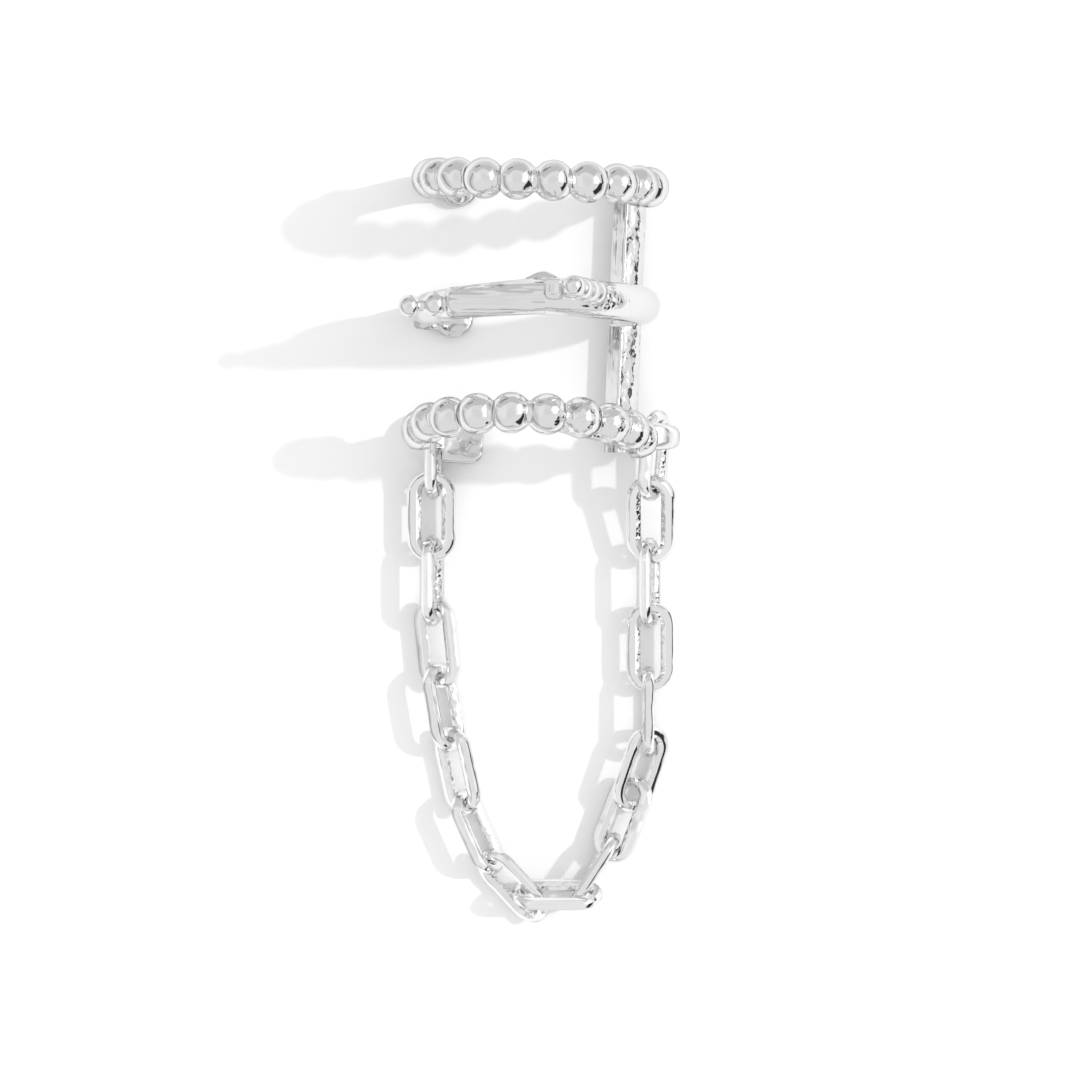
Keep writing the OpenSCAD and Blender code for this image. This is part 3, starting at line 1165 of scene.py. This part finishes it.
def side_gain(t, given, wide, tall):
    """How far the inner half of the sides moves inwards. It fades out round the bows."""
    arm = from_spine(t, wide, tall)
    reach = vector_maths(t, "LENGTH", arm, result="Value")
    depth = maths(t, "SUBTRACT", maths(t, "MULTIPLY", wide, 0.5), reach)
    half_wire = maths(t, "MULTIPLY", given["Wire"], 0.5)
    inside = add(t, "ShaderNodeMapRange", {0: depth, 1: 0.0, 2: half_wire}).outputs[0]
    sideways = add(t, "ShaderNodeSeparateXYZ", {0: arm}).outputs["X"]
    share = maths(t, "POWER", maths(t, "DIVIDE", sideways, reach), GAIN_FADES)
    amount = maths(t, "MULTIPLY", maths(t, "MULTIPLY", inside, share), given["Side gain"])
    return add(t, "ShaderNodeCombineXYZ", {"X": maths(t, "MULTIPLY", amount, -1.0)}).outputs[0]


def faces_inwards(t, wide, tall):
    """True where a face of the link looks towards its opening."""
    out = vector_maths(t, "NORMALIZE", from_spine(t, wide, tall))
    normal = add(t, "GeometryNodeInputNormal").outputs[0]
    facing = vector_maths(t, "DOT_PRODUCT", normal, out, result="Value")
    return add(t, "FunctionNodeCompare", {0: facing, 1: INNER_FACING}, operation="LESS_THAN").outputs[0]


# %% [markdown]
# The path's points are spaced evenly before the sweep, so that the straight sides have points to move.

# %% A link of flat-sided wire
WIRE_SIDES = 8
FULL_ROUND = 0.4999
BOW_POINTS = 12
RING_POINTS = 84


def filleted(t, curve, radius, count, limited):
    """A curve with round corners."""
    inputs = {"Curve": curve, "Radius": radius, "Count": count, "Limit Radius": limited}
    return add(t, "GeometryNodeFilletCurve", inputs, mode="POLY").outputs[0]


def build_link():
    """A filleted rectangle for the path and a filleted octagon for the wire."""
    t = LINK
    given = add(t, "NodeGroupInput").outputs
    wide = maths(t, "SUBTRACT", given["Width"], given["Wire"])
    tall = maths(t, "SUBTRACT", given["Length"], given["Wire"])
    box = add(t, "GeometryNodeCurvePrimitiveQuadrilateral", {"Width": wide, "Height": tall}).outputs[0]
    path = filleted(t, box, maths(t, "MULTIPLY", wide, FULL_ROUND), BOW_POINTS, True)
    even = add(t, "GeometryNodeResampleCurve", {"Curve": path, "Count": RING_POINTS}).outputs[0]
    half_side = math.pi / WIRE_SIDES
    corner_r = maths(t, "DIVIDE", given["Wire"], 2 * math.cos(half_side))
    inputs = {"Resolution": WIRE_SIDES, "Radius": corner_r}
    octagon = add(t, "GeometryNodeCurvePrimitiveCircle", inputs).outputs[0]
    inputs = {"Geometry": octagon, "Rotation": (0, 0, half_side)}
    squared = add(t, "GeometryNodeTransform", inputs).outputs[0]
    wire = filleted(t, squared, given["Edge radius"], 2, False)
    tube = add(t, "GeometryNodeCurveToMesh", {"Curve": even, "Profile Curve": wire}).outputs[0]
    inputs = {"Geometry": tube, "Offset": side_gain(t, given, wide, tall)}
    widened = add(t, "GeometryNodeSetPosition", inputs).outputs[0]
    smooth = add(t, "GeometryNodeSetShadeSmooth", {"Geometry": widened}).outputs[0]
    inner = faces_inwards(t, wide, tall)
    finish_tree(t, smooth, given["Material"], inner, given["Inner material"])


build_link()
print("nodes in the link's tree:", len(LINK.nodes))

# %% [markdown]
# Laying the links
#
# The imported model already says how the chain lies, and each link must lie there too. A list of angles
# would repeat that by hand. Each link is read from its CAD solid instead: its longest direction is the
# link's length, and its thinnest is the way it faces.

# %% How a CAD link lies
FAR_SHARE = 0.97
WIDE_SHARE = 0.9


def lie_of(node):
    """The middle, and the directions of the length, the width and the thickness, of a CAD link."""
    points = [v.co.copy() for v in node.data.vertices]
    low = Vector(min(p[i] for p in points) for i in range(3))
    high = Vector(max(p[i] for p in points) for i in range(3))
    middle = (low + high) / 2
    length = max(points, key=lambda p: (p - middle).length) - middle
    far = [p - middle for p in points if (p - middle).length > FAR_SHARE * length.length]
    along = sum((p if p.dot(length) > 0 else -p for p in far), Vector()).normalized()
    rest = [(p - middle) - along * (p - middle).dot(along) for p in points]
    across = max(rest, key=lambda p: p.length).normalized()
    widest = max(q.length for q in rest)
    wide = [p for p in rest if p.length > WIDE_SHARE * widest]
    across = sum((p if p.dot(across) > 0 else -p for p in wide), Vector()).normalized()
    across = (across - along * across.dot(along)).normalized()
    return middle, along, across, across.cross(along)


# %% [markdown]
# A few links have a neighbour so close to their sides that wider ones would cut into it. They get the
# slimmer gain.

# %% Links where the CAD links lie
SIDE_GAIN = 0.13
SLIM_GAIN = 0.02
SLIM_LINKS = ("link_08", "link_09", "link_10", "link_12", "link_13", "link_15")
LINK_SHARP = 20
links = []
for name in sorted(n for n in frame["nodes"] if n.startswith("link_")):
    gain = SLIM_GAIN if name in SLIM_LINKS else SIDE_GAIN
    values = {"Inner material": rough_cast, "Side gain": gain * MM}
    link = grow(name + "_wire", LINK, values, bright)
    centre, along, across, facing = lie_of(frame["nodes"][name])
    place = Matrix.Translation(centre) @ Matrix((across, along, facing)).transposed().to_4x4()
    link.data.transform(place)
    tidy(link, LINK_SHARP)
    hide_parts(name)
    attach(link, "root")
    links.append(link)
print("links:", len(links), "faces each:", len(links[0].data.polygons))

# %% [markdown]
# Camera
#
# The photo is taken from straight above, at a distance that shows a little of the bands' height. A camera
# without perspective would lose that. The part's frame has the bands' axis along Y, and in the photo that
# axis is turned 2.4 degrees, so the camera rolls.

# %% Camera
PHOTO_SPAN = 54
PHOTO_DISTANCE = 230
SENSOR = 36
LAY_TURN = math.radians(2.4)
PHOTO_MIDDLE_FROM_BAND = Vector((0.2, -11.67, 0))
view_middle = Matrix.Rotation(LAY_TURN, 3, "Z") @ PHOTO_MIDDLE_FROM_BAND
camera = bpy.data.objects.new("camera", bpy.data.cameras.new("camera"))
bpy.context.scene.collection.objects.link(camera)
bpy.context.scene.camera = camera
camera.data.sensor_width = SENSOR
camera.data.sensor_fit = "HORIZONTAL"
camera.data.lens = SENSOR * PHOTO_DISTANCE / PHOTO_SPAN
camera.data.clip_start = 0.01
camera.data.clip_end = 10
camera.location = Vector((AXIS.x + view_middle.x, AXIS.y + view_middle.y, PHOTO_DISTANCE)) * MM
camera.rotation_euler = (0, 0, LAY_TURN)
print("lens, mm:", round(camera.data.lens, 1))

# %% [markdown]
# Table
#
# The cuff lies on a white card whose colour also holds a painted pool of light: white in the middle, and
# past the card's soft edge a pale grey as painted falloff of that light. A plain white plane would do from
# above, but silver mirrors the table too, and the grey gives the silver's lower sides their shading.

# %% Table
FLOOR_HALF = 0.6
CORNERS = [(-1, -1), (1, -1), (1, 1), (-1, 1)]
floor_mesh = bpy.data.meshes.new("table")
floor_mesh.from_pydata([(x * FLOOR_HALF, y * FLOOR_HALF, 0) for x, y in CORNERS], [], [(0, 1, 2, 3)])
table = bpy.data.objects.new("table", floor_mesh)
bpy.context.scene.collection.objects.link(table)
# The table's colour is a painted pool of light on a white card: white in the middle, grey past a soft edge.
CARD_AND_LIGHT_POOL_MIDDLE = (39, 0)
CARD_AND_LIGHT_POOL_HALF = (70, 31)
CARD_AND_LIGHT_POOL_FADE = 24
CARD_AND_LIGHT_POOL_WHITE = 0.9
TABLE_GREY_AND_FALLOFF = 0.62
TABLE_ROUGHNESS = 0.7
TABLE_GLOSS = 0.1


def build_table_with_painted_light_pool():
    """White in the middle, as a card is and as a painted pool of light, and a painted grey falloff past its
    soft edge.
    """
    white = bpy.data.materials.new("white table with a painted pool of light")
    white.use_nodes = True
    t = white.node_tree
    shader = t.nodes["Principled BSDF"]
    shader.inputs["Roughness"].default_value = TABLE_ROUGHNESS
    shader.inputs["Specular IOR Level"].default_value = TABLE_GLOSS
    where = add(t, "ShaderNodeTexCoord").outputs["Object"]
    at = add(t, "ShaderNodeSeparateXYZ", {0: where}).outputs
    past = []
    for axis, middle, half in zip("XY", CARD_AND_LIGHT_POOL_MIDDLE, CARD_AND_LIGHT_POOL_HALF):
        off = maths(t, "ABSOLUTE", maths(t, "SUBTRACT", at[axis], middle * MM))
        past.append(maths(t, "SUBTRACT", off, half * MM))
    edge = maths(t, "MAXIMUM", past[0], past[1])
    # Painted pool of light: white inside the soft edge, painted grey falloff outside it.
    inputs = {0: edge, 1: 0.0, 2: CARD_AND_LIGHT_POOL_FADE * MM, 3: CARD_AND_LIGHT_POOL_WHITE, 4: TABLE_GREY_AND_FALLOFF}
    grey = add(t, "ShaderNodeMapRange", inputs, interpolation_type="SMOOTHSTEP").outputs[0]
    colour = add(t, "ShaderNodeCombineColor", {0: grey, 1: grey, 2: grey}).outputs[0]
    t.links.new(colour, shader.inputs["Base Color"])
    return white


floor_mesh.materials.append(build_table_with_painted_light_pool())
print("card, mm:", [2 * half for half in CARD_AND_LIGHT_POOL_HALF])

# %% [markdown]
# Light
#
# The photo's shadows fall to the left with a narrow soft edge, which one lamp of small angle gives. An area
# lamp would show in the silver as a square. The sun is a direction only, and turns with the camera.

# %% Sun from the right
SUN_WAY = Vector((0.93, 0.22, 1.0))
SUN_STRENGTH = 1.0
SUN_WIDTH = 2.2
bpy.context.scene.view_settings.view_transform = "Standard"
sun = bpy.data.objects.new("sun", bpy.data.lights.new("sun", "SUN"))
bpy.context.scene.collection.objects.link(sun)
sun.data.energy = SUN_STRENGTH
sun.data.angle = math.radians(SUN_WIDTH)
to_sun = Matrix.Rotation(LAY_TURN, 3, "Z") @ SUN_WAY
sun.rotation_euler = to_sun.to_track_quat("Z", "Y").to_euler()
print("sun's height, degrees:", round(math.degrees(math.asin(to_sun.normalized().z)), 1))

# %% [markdown]
# A mirror shows its room. The room could be built from card panels round the table. As a world shader it
# costs nothing to render: a white tent, even and bright, with a softbox on the right, a black flag low on
# the right that gives the silver its near black crescents, and walls a little darker than the roof. Each
# panel is a range of azimuth and elevation with soft edges.

# %% The tent's panels
TENT = 0.88
FILL = 1.22
# Name, then azimuth, half width, lowest and highest elevation and softness, all in degrees, and what it
# does to the light.
PANELS = [
    ("softbox", 16, 30, 28, 58, 18, 1.8),
    ("black flag", -30, 22, 6, 24, 2, 0.04),
    ("narrow flag", 14, 24, 2, 10, 2, 0.08),
    ("back wall", 105, 55, 3, 44, 10, 0.74),
    ("left wall", 195, 28, 2, 22, 6, 0.82),
    ("left light", 170, 35, 32, 62, 14, 1.08),
    ("left flag", 205, 34, 2, 12, 4, 0.62),
    ("front flag", 268, 24, 3, 11, 4, 0.62),
    ("back flag", 120, 14, 4, 16, 3, 0.45),
    ("roof", 0, 200, 68, 100, 8, 0.94),
    ("seam", 0, 200, 0.5, 3.5, 1, 0.7),
]
print("panels:", [panel[0] for panel in PANELS])


# %% [markdown]
# Each panel multiplies the light of the tent where a direction falls inside it. Diffuse rays see a
# little more light than mirror rays do, which lifts the shadows on the table.

# %% Room
def rise(t, value, low, high):
    """0 below low, 1 above high, and a smooth rise between."""
    inputs = {0: value, 1: low, 2: high}
    return add(t, "ShaderNodeMapRange", inputs, interpolation_type="SMOOTHSTEP").outputs[0]


def inside_panel(t, flat, elevation, azimuth, half, low, high, soft):
    """1 inside a panel and 0 outside it. One wider than half a circle goes all the way round."""
    over = rise(t, elevation, low - soft / 2, low + soft / 2)
    under = maths(t, "SUBTRACT", 1.0, rise(t, elevation, high - soft / 2, high + soft / 2))
    inside = maths(t, "MULTIPLY", over, under)
    if half >= 180:
        return inside
    a = math.radians(azimuth)
    near = vector_maths(t, "DOT_PRODUCT", flat, (math.cos(a), math.sin(a), 0), result="Value")
    edge = math.cos(math.radians(half + soft / 2))
    full = math.cos(math.radians(half - soft / 2))
    return maths(t, "MULTIPLY", inside, rise(t, near, edge, full))


def build_room():
    """The tent's brightness by direction, changed by each panel in turn."""
    world = bpy.data.worlds.new("white tent")
    bpy.context.scene.world = world
    world.use_nodes = True
    t = world.node_tree
    t.nodes.clear()
    way = add(t, "ShaderNodeTexCoord").outputs["Generated"]
    flat = vector_maths(t, "NORMALIZE", vector_maths(t, "MULTIPLY", way, (1, 1, 0)))
    height = add(t, "ShaderNodeSeparateXYZ", {0: way}).outputs["Z"]
    elevation = maths(t, "DEGREES", maths(t, "ARCSINE", height))
    light = TENT
    for label, azimuth, half, low, high, soft, factor in PANELS:
        inside = inside_panel(t, flat, elevation, azimuth, half, low, high, soft)
        change = add(t, "ShaderNodeMapRange", {0: inside, 3: 1.0, 4: factor}, label=label).outputs[0]
        light = maths(t, "MULTIPLY", light, change)
    diffuse = add(t, "ShaderNodeLightPath").outputs["Is Diffuse Ray"]
    inputs = {0: diffuse, 3: 1.0, 4: FILL}
    lift = add(t, "ShaderNodeMapRange", inputs, label="fill on the table").outputs[0]
    light = maths(t, "MULTIPLY", light, lift)
    background = add(t, "ShaderNodeBackground", {"Color": (1, 1, 1, 1), "Strength": light})
    add(t, "ShaderNodeOutputWorld", {"Surface": background.outputs[0]})
    return t


room = build_room()
print("nodes in the room:", len(room.nodes))
